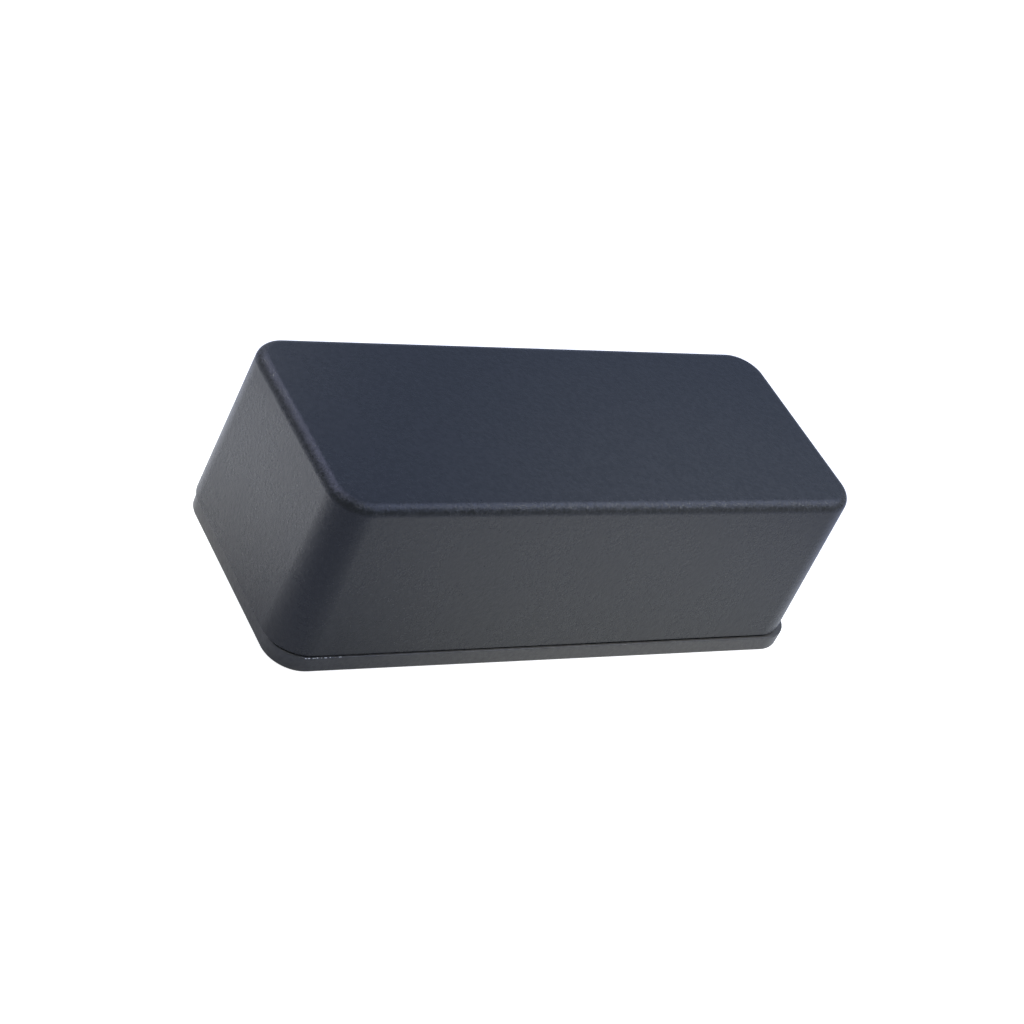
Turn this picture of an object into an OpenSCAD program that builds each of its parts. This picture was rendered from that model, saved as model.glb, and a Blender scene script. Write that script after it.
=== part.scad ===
// Small moulded plastic project box: a deep drafted body with rounded corners that stands
// on its screwed-on lid. The closed face is on top, the lid's outer face lies at z = 0,
// and the origin is under the middle of the closed case. Sizes are in millimetres.

/* [Case] */
// Length of the closed case
case_l = 70; // [60:0.5:110]
// Width of the closed case
case_w = 28.8; // [27:0.2:60]
// Height of the closed case, lid included
case_h = 22.9; // [19:0.1:40]
// Radius of the upright corners, at the rim
corner_r = 4.6; // [4.2:0.1:5.5]
// Radius of the edge round the closed face
face_edge_r = 1.3; // [0.6:0.1:1.6]
// Draft of the side walls, in degrees
draft = 1.5; // [0.5:0.25:2]
// Thickness of the side walls
wall_t = 1.8; // [1.5:0.1:2.2]
// Thickness of the closed face
face_t = 2; // [1.6:0.1:2.6]

/* [Lid] */
// Thickness of the lid's plate
lid_t = 2.1; // [1.8:0.05:2.6]
// Radius of the lid's corners
lid_corner_r = 4.1; // [3.5:0.1:5.5]
// Shadow gap between the body's rim and the lid's plate
rim_gap = 0.2; // [0.1:0.05:0.4]
// How far the lid's outline sits off the body's along the length
lid_offset_x = 0.4; // [-0.4:0.1:0.4]
// How far the lid's outline sits off the body's across the width
lid_offset_y = -0.2; // [-0.4:0.1:0.4]
// Height of the tongues that locate the lid inside the walls
tongue_h = 2; // [1.5:0.1:3]
// Thickness of the tongues
tongue_t = 1.1; // [0.8:0.1:1.5]
// Clearance between the tongues and the walls
tongue_gap = 0.55; // [0.5:0.05:0.8]

/* [Screws] */
// Length of the countersunk screws
screw_l = 9; // [7:0.5:12]
// Diameter of the screw's head
head_d = 4.6; // [4:0.1:4.8]
// Diameter of the corner bosses at their tips
boss_d = 5.8; // [5.6:0.1:6]

/* [Board posts] */
// Distance between the posts along the length
post_pitch_x = 44; // [30:1:44]
// Distance between the posts across the width
post_pitch_y = 14; // [8:1:14]
// Height of the posts above the closed face's inside
post_h = 4.5; // [3:0.5:6]
// Diameter of the posts at their tips
post_d = 4.4; // [4:0.2:5]

/* [Card guides] */
// Number of upright card slots along each long wall
slot_count = 3; // [1:1:3]
// Distance between the card slots
slot_pitch = 14; // [10:1:14]
// Width of a card slot
slot_w = 1.8; // [1:0.1:2.2]
// How far the guide ribs stand out from the wall
rib_d = 1.2; // [0.8:0.1:1.5]
// Thickness of a guide rib
rib_t = 1; // [0.8:0.1:1.2]

/* [Hidden] */

ABS_BLACK = [0.055, 0.058, 0.065];
SCREW_STEEL = [0.30, 0.30, 0.31];

// Facets: the revolved corners that each hull spans, and the steps of their edge rounds
CORNER_FN = 40;
EDGE_STEPS = 7;
BORE_FN = 48;

// Heights, from the lid's outer face up to the closed face
RIM_Z = lid_t + rim_gap;                // the body's rim
SEAT_Z = lid_t;                         // tips of the bosses, which carry the lid
FLOOR_Z = case_h - face_t;              // inside of the closed face
TONGUE_Z = lid_t + tongue_h;            // tips of the tongues
GUIDE_Z = TONGUE_Z + 0.6;               // mouth end of the guide ribs
HEAD_Z = 0.1;                           // flat of each screw's head, sunk just under the lid's face

// Plan sizes, measured from the middle of the body or of the lid
IN_L = case_l / 2 - wall_t;             // half length between the walls, at the rim
IN_W = case_w / 2 - wall_t;             // half width between the walls, at the rim
SCREW_X = case_l / 2 - corner_r;        // the bosses share the corners' axes
SCREW_Y = case_w / 2 - corner_r;
TONGUE_END = boss_d / 2 + 0.6;          // a tongue stops this far short of a screw's axis

// Small edges and clearances
RIM_EDGE = 0.15;                        // round of the rim's and the plate's sharp edges
PLATE_EDGE = 0.3;                       // round of the plate's outer edge
CAVITY_EDGE = 0.8;                      // round inside the closed face
CORE_R = 1.03;                          // the screw's shank under its thread
PILOT_R = CORE_R + 0.02;                // bore that the screw cuts its thread in
SHANK_HOLE_R = 1.45;                    // clearance hole through the lid
HEAD_RIM = 0.2;                         // straight edge of a screw's head, over its cone
SEAT_GAP = 0.02;                        // room between a head's cone and its countersink
PILOT_TOP = HEAD_Z + screw_l + 1.5;     // blind end of the screw bores
POST_BORE_R = 0.85;                     // bore for a board's screw
BOSS_GROWTH = 0.2;                      // what draft adds to a boss's radius at its root
SINK = 0.5;                             // how deep bosses, ribs and tongues run into what carries them
EPS = 0.01;

// The offset is shared, so that the closed case's outline stays centred on the origin
OFFSET = [lid_offset_x, lid_offset_y, 0];
BODY_AT = -OFFSET / 2;
LID_AT = OFFSET / 2;

// Copies the children to the four places (+-x, +-y)
module at_corners(x, y) {
    for (sx = [-1, 1], sy = [-1, 1]) {
        translate([sx * x, sy * y, 0]) children();
    }
}

// One upright corner as a solid of revolution: radius r at its foot, drawn in by the draft,
// with a rounded foot and a rounded tip
module corner_post(h, r, foot_edge, tip_edge) {
    wall_x = function (z) r - z * tan(draft);
    tip_cz = h - tip_edge;
    tip_cx = wall_x(tip_cz) - tip_edge / cos(draft);
    rotate_extrude($fn = CORNER_FN) {
        polygon(concat(
            [[0, 0], [wall_x(0) - foot_edge, 0], [wall_x(foot_edge), foot_edge]],
            [for (i = [0 : EDGE_STEPS])
                let (a = draft + (90 - draft) * i / EDGE_STEPS)
                [tip_cx + tip_edge * cos(a), tip_cz + tip_edge * sin(a)]],
            [[0, h]]
        ));
    }
}

// A block with drafted walls, rounded upright corners and a rounded edge round its top
module drafted_block(l, w, h, r, foot_edge, tip_edge) {
    hull() {
        at_corners(l / 2 - r, w / 2 - r) corner_post(h, r, foot_edge, tip_edge);
    }
}

// The body's outer form, standing on its rim
module body_outside() {
    translate([0, 0, RIM_Z]) {
        drafted_block(case_l, case_w, case_h - RIM_Z, corner_r, RIM_EDGE, face_edge_r);
    }
}

// The hollow inside the walls, open through the rim
module body_hollow() {
    translate([0, 0, RIM_Z - EPS]) {
        drafted_block(2 * IN_L, 2 * IN_W, FLOOR_Z - RIM_Z + EPS, corner_r - wall_t, 0, CAVITY_EDGE);
    }
}

// Screw boss: a column that fills a corner, on the corner's own axis
module screw_boss() {
    tip_r = boss_d / 2;
    translate([0, 0, SEAT_Z]) {
        cylinder(h = FLOOR_Z - SEAT_Z + SINK, r1 = tip_r, r2 = tip_r + BOSS_GROWTH, $fn = BORE_FN);
    }
}

// Board post hanging from the inside of the closed face
module board_post() {
    root_r = post_d / 2 + 0.2;
    fillet_h = 0.6;
    translate([0, 0, FLOOR_Z - post_h]) {
        cylinder(h = post_h + SINK, r1 = post_d / 2, r2 = root_r, $fn = BORE_FN);
    }
    translate([0, 0, FLOOR_Z - fillet_h]) {
        cylinder(h = fillet_h, r1 = root_r, r2 = root_r + fillet_h, $fn = BORE_FN);
    }
}

// Guide rib on the +Y wall: a thin fin with a slanting lead-in at the mouth end
module guide_rib() {
    inner_y = IN_W - rib_d;
    outer_y = IN_W + SINK;
    rotate([90, 0, 90]) {
        linear_extrude(height = rib_t, center = true) {
            polygon([
                [outer_y, GUIDE_Z],
                [IN_W - 0.3, GUIDE_Z],
                [inner_y, GUIDE_Z + rib_d],
                [inner_y - 0.15, FLOOR_Z + SINK],
                [outer_y, FLOOR_Z + SINK],
            ]);
        }
    }
}

// The pairs of ribs that make the card slots, on both long walls
module card_guides() {
    first_x = -slot_pitch * (slot_count - 1) / 2;
    for (i = [0 : slot_count - 1], side = [-1, 1]) {
        translate([first_x + i * slot_pitch + side * (slot_w + rib_t) / 2, 0, 0]) {
            guide_rib();
            mirror([0, 1, 0]) guide_rib();
        }
    }
}

// Bore with a small lead-in at its mouth, from z0 up to z1
module pilot_bore(r, z0, z1) {
    lead = 0.25;
    translate([0, 0, z0 - EPS]) cylinder(h = z1 - z0 + EPS, r = r, $fn = BORE_FN);
    translate([0, 0, z0 - EPS]) cylinder(h = lead, r1 = r + lead, r2 = r, $fn = BORE_FN);
}

// Deep one-piece moulding: drafted walls, bosses, board posts and card guides
module body_shell() {
    color(ABS_BLACK) translate(BODY_AT) difference() {
        union() {
            difference() {
                body_outside();
                body_hollow();
            }
            at_corners(SCREW_X, SCREW_Y) screw_boss();
            at_corners(post_pitch_x / 2, post_pitch_y / 2) board_post();
            card_guides();
        }
        at_corners(SCREW_X, SCREW_Y) pilot_bore(PILOT_R, SEAT_Z, PILOT_TOP);
        at_corners(post_pitch_x / 2, post_pitch_y / 2) {
            pilot_bore(POST_BORE_R, FLOOR_Z - post_h, FLOOR_Z + face_t / 2);
        }
    }
}

// Straight tongue of the given length along X, standing on the plate behind the line y = outer_y
module tongue(length, outer_y) {
    lead = 0.4;
    rotate([90, 0, 90]) {
        linear_extrude(height = length, center = true) {
            polygon([
                [outer_y, lid_t - SINK],
                [outer_y, TONGUE_Z - lead],
                [outer_y - lead, TONGUE_Z],
                [outer_y - tongue_t, TONGUE_Z],
                [outer_y - tongue_t, lid_t - SINK],
            ]);
        }
    }
}

// The four tongues, one inside each wall, clear of the bosses
module tongues() {
    for (turn = [0, 180]) {
        rotate(turn) {
            tongue(2 * (SCREW_X - TONGUE_END), IN_W - tongue_gap);
            rotate(90) tongue(2 * (SCREW_Y - TONGUE_END), IN_L - tongue_gap);
        }
    }
}

// The lid's plate, with its outer edge rounded more than its inner one
module plate() {
    translate([0, 0, lid_t]) mirror([0, 0, 1]) hull() {
        at_corners(case_l / 2 - lid_corner_r, case_w / 2 - lid_corner_r) plate_corner();
    }
}

// One corner of the plate, upright and with its outer face on top
module plate_corner() {
    rotate_extrude($fn = CORNER_FN) {
        polygon(concat(
            [[0, 0], [lid_corner_r - RIM_EDGE, 0], [lid_corner_r, RIM_EDGE]],
            [for (i = [0 : 3])
                let (a = 30 * i)
                [lid_corner_r - PLATE_EDGE * (1 - cos(a)), lid_t - PLATE_EDGE * (1 - sin(a))]],
            [[0, lid_t]]
        ));
    }
}

// Countersunk hole through the lid, open at the lid's outer face
module countersunk_hole() {
    cone_r = head_d / 2 + SEAT_GAP;
    translate([0, 0, -EPS]) {
        cylinder(h = lid_t + 2 * EPS, r = SHANK_HOLE_R, $fn = BORE_FN);
        cylinder(h = HEAD_Z + HEAD_RIM + EPS, r = cone_r, $fn = BORE_FN);
    }
    translate([0, 0, HEAD_Z + HEAD_RIM]) {
        cylinder(h = cone_r - CORE_R, r1 = cone_r, r2 = CORE_R, $fn = BORE_FN);
    }
}

// Lid: a flat plate with locating tongues and four countersunk holes, which keep to the
// bosses while the plate and its tongues sit off the body's middle
module lid() {
    color(ABS_BLACK) difference() {
        translate(LID_AT) {
            plate();
            tongues();
        }
        translate(BODY_AT) at_corners(SCREW_X, SCREW_Y) countersunk_hole();
    }
}

// Self-tapping countersunk screw, head down, with a cross recess
module countersunk_screw() {
    head_r = head_d / 2;
    cone_end = HEAD_RIM + head_r - CORE_R;
    point_h = 1.6;
    point_r = 0.2;
    recess_w = 0.6;
    recess_l = 2.5;
    recess_h = 0.8;
    difference() {
        rotate_extrude($fn = BORE_FN) {
            polygon([
                [0, 0],
                [head_r, 0],
                [head_r, HEAD_RIM],
                [CORE_R, cone_end],
                [CORE_R, screw_l - point_h],
                [point_r, screw_l],
                [0, screw_l],
            ]);
        }
        for (turn = [0, 90]) {
            rotate(turn) translate([-recess_l / 2, -recess_w / 2, -EPS]) {
                cube([recess_l, recess_w, recess_h + EPS]);
            }
        }
    }
}

// The four screws, seated in the lid's countersinks and threaded into the bosses
module lid_screws() {
    color(SCREW_STEEL) translate(BODY_AT + [0, 0, HEAD_Z]) {
        at_corners(SCREW_X, SCREW_Y) countersunk_screw();
    }
}

body_shell();
lid();
lid_screws();
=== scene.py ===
# %% [markdown]
# # A small moulded project box
#
# The object is a black plastic box of the kind that holds a small circuit: a deep moulded housing with
# rounded corners that stands, mouth down, on a thin flat lid. Four countersunk screws hold the lid from
# below.
#
# This lesson dresses a finished CAD model. The CAD solids say where everything is, to the tenth of a
# millimetre, but their rounded corners are made of flat facets. Each moulding is built again here from the
# same few sizes, with smooth rounds and the small details that catch the light, and is then finished with
# its own material.

# %% Load the CAD solids
import math

import bmesh
import bpy
from mathutils import Matrix, Vector


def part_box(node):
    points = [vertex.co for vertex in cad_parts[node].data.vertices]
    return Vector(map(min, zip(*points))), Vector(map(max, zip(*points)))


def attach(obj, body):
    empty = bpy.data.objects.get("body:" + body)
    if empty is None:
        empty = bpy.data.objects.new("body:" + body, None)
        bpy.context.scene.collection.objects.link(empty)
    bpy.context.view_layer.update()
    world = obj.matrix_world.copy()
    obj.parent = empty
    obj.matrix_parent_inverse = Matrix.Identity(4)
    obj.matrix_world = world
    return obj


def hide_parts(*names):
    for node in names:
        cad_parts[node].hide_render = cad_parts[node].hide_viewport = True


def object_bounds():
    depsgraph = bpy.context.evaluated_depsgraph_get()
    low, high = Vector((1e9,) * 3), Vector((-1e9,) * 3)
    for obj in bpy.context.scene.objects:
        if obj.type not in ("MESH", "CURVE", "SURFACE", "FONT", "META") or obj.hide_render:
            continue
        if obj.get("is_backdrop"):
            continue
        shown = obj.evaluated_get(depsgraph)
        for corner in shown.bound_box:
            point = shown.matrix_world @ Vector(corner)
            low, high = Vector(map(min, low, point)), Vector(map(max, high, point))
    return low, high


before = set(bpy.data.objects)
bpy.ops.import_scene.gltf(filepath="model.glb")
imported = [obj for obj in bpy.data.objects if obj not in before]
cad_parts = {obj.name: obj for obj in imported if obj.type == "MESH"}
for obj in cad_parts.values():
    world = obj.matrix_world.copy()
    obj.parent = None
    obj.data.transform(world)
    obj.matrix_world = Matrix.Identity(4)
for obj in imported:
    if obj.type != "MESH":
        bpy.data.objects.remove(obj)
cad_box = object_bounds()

MM = 0.001
housing_lo, housing_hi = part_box("body_shell")
lid_lo, lid_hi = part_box("lid")
print("housing spans", [round(v / MM, 2) for v in housing_lo], "to", [round(v / MM, 2) for v in housing_hi])
print("lid spans", [round(v / MM, 2) for v in lid_lo], "to", [round(v / MM, 2) for v in lid_hi])

# %% [markdown]
# ## Sizes
#
# The CAD boxes give the overall sizes and the places. What is left are the few sizes that a toolmaker would
# also write down: the corner radii, the draft that lets the moulding leave its tool, the wall, and the
# small rounds.

# %% Sizes of the two mouldings
HOUSING_L = housing_hi.x - housing_lo.x
HOUSING_W = housing_hi.y - housing_lo.y
HOUSING_TOP = housing_hi.z
HOUSING_AT = Vector(((housing_lo.x + housing_hi.x) / 2, (housing_lo.y + housing_hi.y) / 2, 0))
CORNER_R = 4.6 * MM
DRAFT = math.radians(1.5)
FACE_EDGE_R = 1.3 * MM
WALL_T = 1.8 * MM
FACE_T = 2.0 * MM
CAVITY_EDGE_R = 0.8 * MM

LID_L = lid_hi.x - lid_lo.x
LID_W = lid_hi.y - lid_lo.y
LID_AT = Vector(((lid_lo.x + lid_hi.x) / 2, (lid_lo.y + lid_hi.y) / 2, 0))
LID_T = housing_lo.z                       # the screw bosses stand on the lid's plate
LID_CORNER_R = 4.1 * MM
RIM_GAP = 0.2 * MM
RIM_Z = LID_T + RIM_GAP
RIM_EDGE_R = 0.15 * MM
RIM_INNER_R = 0.1 * MM
CORNER_STEPS = 20
print("lid plate", round(LID_T / MM, 2), "mm thick, housing rim at", round(RIM_Z / MM, 2), "mm")

# %% [markdown]
# ## Node helpers
#
# Geometry trees and material trees are both built from nodes and links. Written out, each node takes one
# line for each of its sockets. A few small helpers keep it short and readable: one adds a node with its
# settings and inputs, one starts a tree with named sockets, and the rest are the sums that come again and
# again.


# %% Helpers for node trees
def connect(tree, node, inputs):
    """Gives each input of a node a plain value, or links another node's output to it."""
    for socket, value in inputs.items():
        if isinstance(value, bpy.types.NodeSocket):
            tree.links.new(value, node.inputs[socket])
        else:
            node.inputs[socket].default_value = value
    return node


def add_node(tree, kind, inputs=None, **settings):
    """A new node with its plain settings, such as an operation or a mode, and its inputs."""
    node = tree.nodes.new(kind)
    for name, value in settings.items():
        setattr(node, name, value)
    return connect(tree, node, inputs or {})


def output_of(tree, kind, inputs=None, **settings):
    """The first output of a new node."""
    return add_node(tree, kind, inputs, **settings).outputs[0]


def new_tree(name, kind, inputs, outputs):
    """An empty tree with sockets, each (type, name) or (type, name, value), and what comes in by them."""
    tree = bpy.data.node_groups.new(name, kind + "NodeTree")
    for direction, sockets in (("INPUT", inputs), ("OUTPUT", outputs)):
        for socket, label, *value in sockets:
            item = tree.interface.new_socket(name=label, in_out=direction, socket_type="NodeSocket" + socket)
            if value:
                item.default_value = value[0]
    return tree, add_node(tree, "NodeGroupInput").outputs


def new_modifier_tree(name, inputs):
    """A Geometry Nodes tree for a modifier: geometry goes in and out, with named inputs and a material."""
    tree, given = new_tree(name, "Geometry", [("Geometry", "Geometry"), *inputs, ("Material", "Material")],
                           [("Geometry", "Geometry")])
    tree.is_modifier = True
    return tree, given


print("node helpers ready")


# %% Sums that the trees share
def maths(tree, operation, *values):
    """The result of a sum on two or three numbers or outputs."""
    return output_of(tree, "ShaderNodeMath", dict(enumerate(values)), operation=operation)


def scaled(tree, vector, factor):
    """A vector or colour times a number."""
    return output_of(tree, "ShaderNodeVectorMath", {0: vector, "Scale": factor}, operation="SCALE")


def vector_of(tree, **axes):
    """A vector from numbers for some of X, Y and Z; the others are 0."""
    return output_of(tree, "ShaderNodeCombineXYZ", axes)


def remapped(tree, value, before=(0, 1), after=(0, 1)):
    """A value carried from one range to another and held at its ends."""
    return output_of(tree, "ShaderNodeMapRange", {
        "Value": value, "From Min": before[0], "From Max": before[1],
        "To Min": after[0], "To Max": after[1]})


def noise(tree, scale, detail, roughness=0.5):
    """Noise that is fixed to the piece, as values about 0.5."""
    place = add_node(tree, "ShaderNodeTexCoord").outputs["Object"]
    return output_of(tree, "ShaderNodeTexNoise",
                     {"Vector": place, "Scale": scale, "Detail": detail, "Roughness": roughness})


print("sums ready")


# %% Helpers for meshes and modifiers
def helper_object(name, mesh):
    """Puts a mesh in the scene as a hidden helper that a Geometry Nodes tree can read."""
    obj = bpy.data.objects.new(name, mesh)
    bpy.context.scene.collection.objects.link(obj)
    obj.hide_render = True
    return obj


def outward_mesh(name, points, faces):
    """A mesh whose faces all point out of the solid."""
    mesh = bpy.data.meshes.new(name)
    mesh.from_pydata(points, [], faces)
    work = bmesh.new()
    work.from_mesh(mesh)
    bmesh.ops.recalc_face_normals(work, faces=work.faces)
    work.to_mesh(mesh)
    work.free()
    return mesh


def turned_mesh(name, profile, facets=48, start=0.0):
    """A closed solid turned about Z from (radius, height) points; start turns its facets by part of one."""
    turns = [2 * math.pi * (i + start) / facets for i in range(facets)]
    ring = [(math.cos(a), math.sin(a)) for a in turns]
    points = [(r * c, r * s, z) for r, z in profile for c, s in ring]
    faces = [tuple(range(facets)), tuple((len(profile) - 1) * facets + i for i in range(facets))]
    for level in range(len(profile) - 1):
        for i in range(facets):
            a, b = level * facets + i, level * facets + (i + 1) % facets
            faces.append((a, b, b + facets, a + facets))
    return outward_mesh(name, points, faces)


def prism_mesh(name, outline, x_from, x_to):
    """A closed prism along X with an outline given in (y, z)."""
    n = len(outline)
    points = [(x, y, z) for x in (x_from, x_to) for y, z in outline]
    faces = [tuple(range(n)), tuple(range(n, 2 * n))]
    faces += [(i, (i + 1) % n, (i + 1) % n + n, i + n) for i in range(n)]
    return outward_mesh(name, points, faces)


def bake_modifiers(obj, name):
    """Turns an object with modifiers into a new plain mesh object, and removes the first one."""
    bpy.context.view_layer.update()
    depsgraph = bpy.context.evaluated_depsgraph_get()
    mesh = bpy.data.meshes.new_from_object(obj.evaluated_get(depsgraph), depsgraph=depsgraph)
    old_mesh = obj.data
    bpy.data.objects.remove(obj)
    bpy.data.meshes.remove(old_mesh)
    mesh.name = name
    result = bpy.data.objects.new(name, mesh)
    bpy.context.scene.collection.objects.link(result)
    return result


def run_tree(obj, tree, values, name):
    """Runs a Geometry Nodes tree on an object with named values and returns the plain result."""
    modifier = obj.modifiers.new(tree.name, "NODES")
    modifier.node_group = tree
    for item in tree.interface.items_tree:
        if item.in_out == "INPUT" and item.name in values:
            modifier[item.identifier] = values[item.name]
    return bake_modifiers(obj, name)


print("mesh helpers ready")

# %% [markdown]
# ## Finish of the plastic
#
# The mouldings are black ABS from a spark-eroded tool: a fine, even, matt texture, with no flow lines. The
# grain could be modelled or painted, but it is far finer than any mesh, and a painted texture would blur
# close up and show a seam. Noise nodes that read the place on the piece have neither fault. Three effects
# make the finish, each a shader node group so that both mouldings can use it with their own values:
#
# - `moulded_texture` gives the height of the fine grain and a faint unevenness of its tone,
# - `handled_sheen` gives the slow changes of gloss that fingers leave,
# - `rubbed_edges` gives a speckled mask for the rounds, from an attribute stored on the mesh.
#   It lightens their colour a little, partly as wear where knocks have worn the texture and partly as a
#   painted sparkle of the highlight along them, and adds to their relief, so that the highlight is granular.

# %% Group: moulded texture
COARSE_SCALE = 0.31


def build_moulded_texture():
    tree, given = new_tree("moulded_texture", "Shader",
                           [("Float", "Grains per mm"), ("Float", "Coarse share", 0.35)],
                           [("Float", "Height"), ("Float", "Tone")])
    per_metre = maths(tree, "MULTIPLY", given["Grains per mm"], 1 / MM)
    fine = noise(tree, per_metre, detail=2.0, roughness=0.6)
    coarse = noise(tree, maths(tree, "MULTIPLY", per_metre, COARSE_SCALE), detail=1.0)
    height = output_of(tree, "ShaderNodeMix", {0: given["Coarse share"], 2: fine, 3: coarse},
                       data_type="FLOAT")
    add_node(tree, "NodeGroupOutput", {"Height": height, "Tone": coarse})
    return tree


MOULDED_TEXTURE = build_moulded_texture()
print("group", MOULDED_TEXTURE.name, "with", len(MOULDED_TEXTURE.nodes), "nodes")


# %% Group: handled sheen
def build_handled_sheen():
    tree, given = new_tree("handled_sheen", "Shader", [("Float", "Patch size mm", 9.0)], [("Float", "Fac")])
    patches = noise(tree, maths(tree, "DIVIDE", 1 / MM, given["Patch size mm"]), detail=3.0, roughness=0.55)
    add_node(tree, "NodeGroupOutput", {"Fac": patches})
    return tree


HANDLED_SHEEN = build_handled_sheen()
print("group", HANDLED_SHEEN.name, "with", len(HANDLED_SHEEN.nodes), "nodes")

# %% Group: edge wear and painted sparkle
SPECKLE_SPAN = (0.45, 0.7)


def build_edge_wear_and_painted_sparkle():
    tree, given = new_tree("rubbed_edges", "Shader", [("Float", "Amount"), ("Float", "Speckle per mm")],
                           [("Float", "Mask")])
    edge = add_node(tree, "ShaderNodeAttribute", attribute_name="edge").outputs["Fac"]
    per_metre = maths(tree, "MULTIPLY", given["Speckle per mm"], 1 / MM)
    speckle = noise(tree, per_metre, detail=4.0, roughness=0.65)
    # Lightening the rounds by this mask is partly wear and partly a painted sparkle of the highlight along
    # them.
    wear_and_sparkle_mask = maths(tree, "MULTIPLY", edge, remapped(tree, speckle, SPECKLE_SPAN))
    add_node(tree, "NodeGroupOutput", {"Mask": maths(tree, "MULTIPLY", wear_and_sparkle_mask, given["Amount"])})
    return tree


EDGE_WEAR_AND_PAINTED_SPARKLE = build_edge_wear_and_painted_sparkle()
print("group", EDGE_WEAR_AND_PAINTED_SPARKLE.name, "with", len(EDGE_WEAR_AND_PAINTED_SPARKLE.nodes), "nodes")

# %% Materials of the mouldings
GRAINS_PER_MM, COARSE_SHARE, GRAIN_DEPTH = 6.0, 0.5, 0.058 * MM
SPECKLES_PER_MM, SPECKLE_DEPTH = 3.5, 3.0             # the depth is in grain depths, where the wear is 1
NOISE_SPAN = (0.3, 0.7)                               # nearly all of a noise lies in this range
TONE_SPAN = (0.86, 1.14)
SHEEN_SPAN = (-0.06, -0.01)
GRAIN_GLOSS = 0.08


def new_material(name, inputs):
    """A material, its tree, and its shader with plain values on the shader's own sockets."""
    material = bpy.data.materials.new(name)
    material.use_nodes = True
    tree = material.node_tree
    return material, tree, connect(tree, tree.nodes["Principled BSDF"], inputs)


def moulded_abs(name, colour, wear_and_sparkle_colour, roughness, wear_and_sparkle_amount):
    """Black ABS: plain gloss on the shader, and colour, grain, sheen, wear and a painted sparkle on the
    rounds from the three groups.
    """
    material, tree, shader = new_material(name, {"IOR": 1.5, "Specular IOR Level": 0.5})
    texture = add_node(tree, "ShaderNodeGroup", {
        "Grains per mm": GRAINS_PER_MM, "Coarse share": COARSE_SHARE}, node_tree=MOULDED_TEXTURE).outputs
    wear_and_sparkle_mask = output_of(tree, "ShaderNodeGroup", {"Amount": wear_and_sparkle_amount, "Speckle per mm": SPECKLES_PER_MM},
                       node_tree=EDGE_WEAR_AND_PAINTED_SPARKLE)
    relief = maths(tree, "MULTIPLY_ADD", wear_and_sparkle_mask, SPECKLE_DEPTH, texture["Height"])
    normal = output_of(tree, "ShaderNodeBump", {"Strength": 1.0, "Distance": GRAIN_DEPTH, "Height": relief})
    shade = scaled(tree, colour, remapped(tree, texture["Tone"], NOISE_SPAN, TONE_SPAN))
    # The rounds' colour is lightened by the mask: partly wear, partly a painted sparkle of their highlight.
    mixed = add_node(tree, "ShaderNodeMix", {0: wear_and_sparkle_mask, 6: shade, 7: (*wear_and_sparkle_colour, 1)}, data_type="RGBA")
    sheen = output_of(tree, "ShaderNodeGroup", node_tree=HANDLED_SHEEN)
    gloss = remapped(tree, sheen, NOISE_SPAN, [roughness + change for change in SHEEN_SPAN])
    connect(tree, shader, {"Normal": normal, "Base Color": mixed.outputs[2],
                           "Roughness": maths(tree, "MULTIPLY_ADD", texture["Height"], GRAIN_GLOSS, gloss)})
    return material


# Each finish's paler colour on the rounds is partly wear and partly a painted sparkle of their highlight.
HOUSING_ABS = moulded_abs("housing_black_abs", colour=(0.030, 0.030, 0.030), wear_and_sparkle_colour=(0.16, 0.16, 0.165),
                          roughness=0.27, wear_and_sparkle_amount=0.15)
LID_ABS = moulded_abs("lid_black_abs", colour=(0.078, 0.074, 0.069), wear_and_sparkle_colour=(0.18, 0.18, 0.18),
                      roughness=0.32, wear_and_sparkle_amount=0.1)
print("materials", HOUSING_ABS.name, "and", LID_ABS.name)

# %% [markdown]
# ## The rule behind both mouldings
#
# Housing and lid follow one rule: a section is carried round a rounded rectangle. The section is drawn
# once, as a line of points in (distance in from the outline, height), and Curve to Mesh sweeps it along the
# outline. That gives true parallel offsets, so the corner rounds shrink with the draft just as a milled
# tool makes them.
#
# Each point also carries how much of a rounded edge it is, from 0 on a flat to 1 at the middle of a round.
# The sweep copies that on to the mesh as the attribute `edge`, which the group `rubbed_edges` reads.


# %% Drawing a section
def arc(cx, cz, r, start, end, steps, edge_value=1.0):
    """Points (inset, height, edge) along an arc about (cx, cz); angles in degrees from outward."""
    points = []
    for i in range(steps + 1):
        t = i / steps
        a = math.radians(start + (end - start) * t)
        points.append((cx - r * math.cos(a), cz + r * math.sin(a), edge_value * math.sin(math.pi * t)))
    return points


def section_mesh(name, points):
    """A mesh line through the section's points, with the edge value of each."""
    mesh = bpy.data.meshes.new(name)
    mesh.from_pydata([(-inset, -height, 0) for inset, height, _ in points],
                     [(i, i + 1) for i in range(len(points) - 1)], [])
    edge = mesh.attributes.new("edge", "FLOAT", "POINT")
    edge.data.foreach_set("value", [e for _, _, e in points])
    return mesh


def lean(height):
    """How far the draft has drawn a wall in at this height above the rim."""
    return (height - RIM_Z) * math.tan(DRAFT)


print("the draft draws the housing's wall in by", round(lean(HOUSING_TOP) / MM, 2), "mm at the top")


# %% Geometry Nodes: sweep a section round a rounded rectangle
def moved(tree, geometry, offset):
    return output_of(tree, "GeometryNodeTransform", {"Geometry": geometry, "Translation": offset})


def made_real(tree, geometry):
    return output_of(tree, "GeometryNodeRealizeInstances", {"Geometry": geometry})


def coated(tree, geometry, material):
    return output_of(tree, "GeometryNodeSetMaterial", {"Geometry": geometry, "Material": material})


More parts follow.
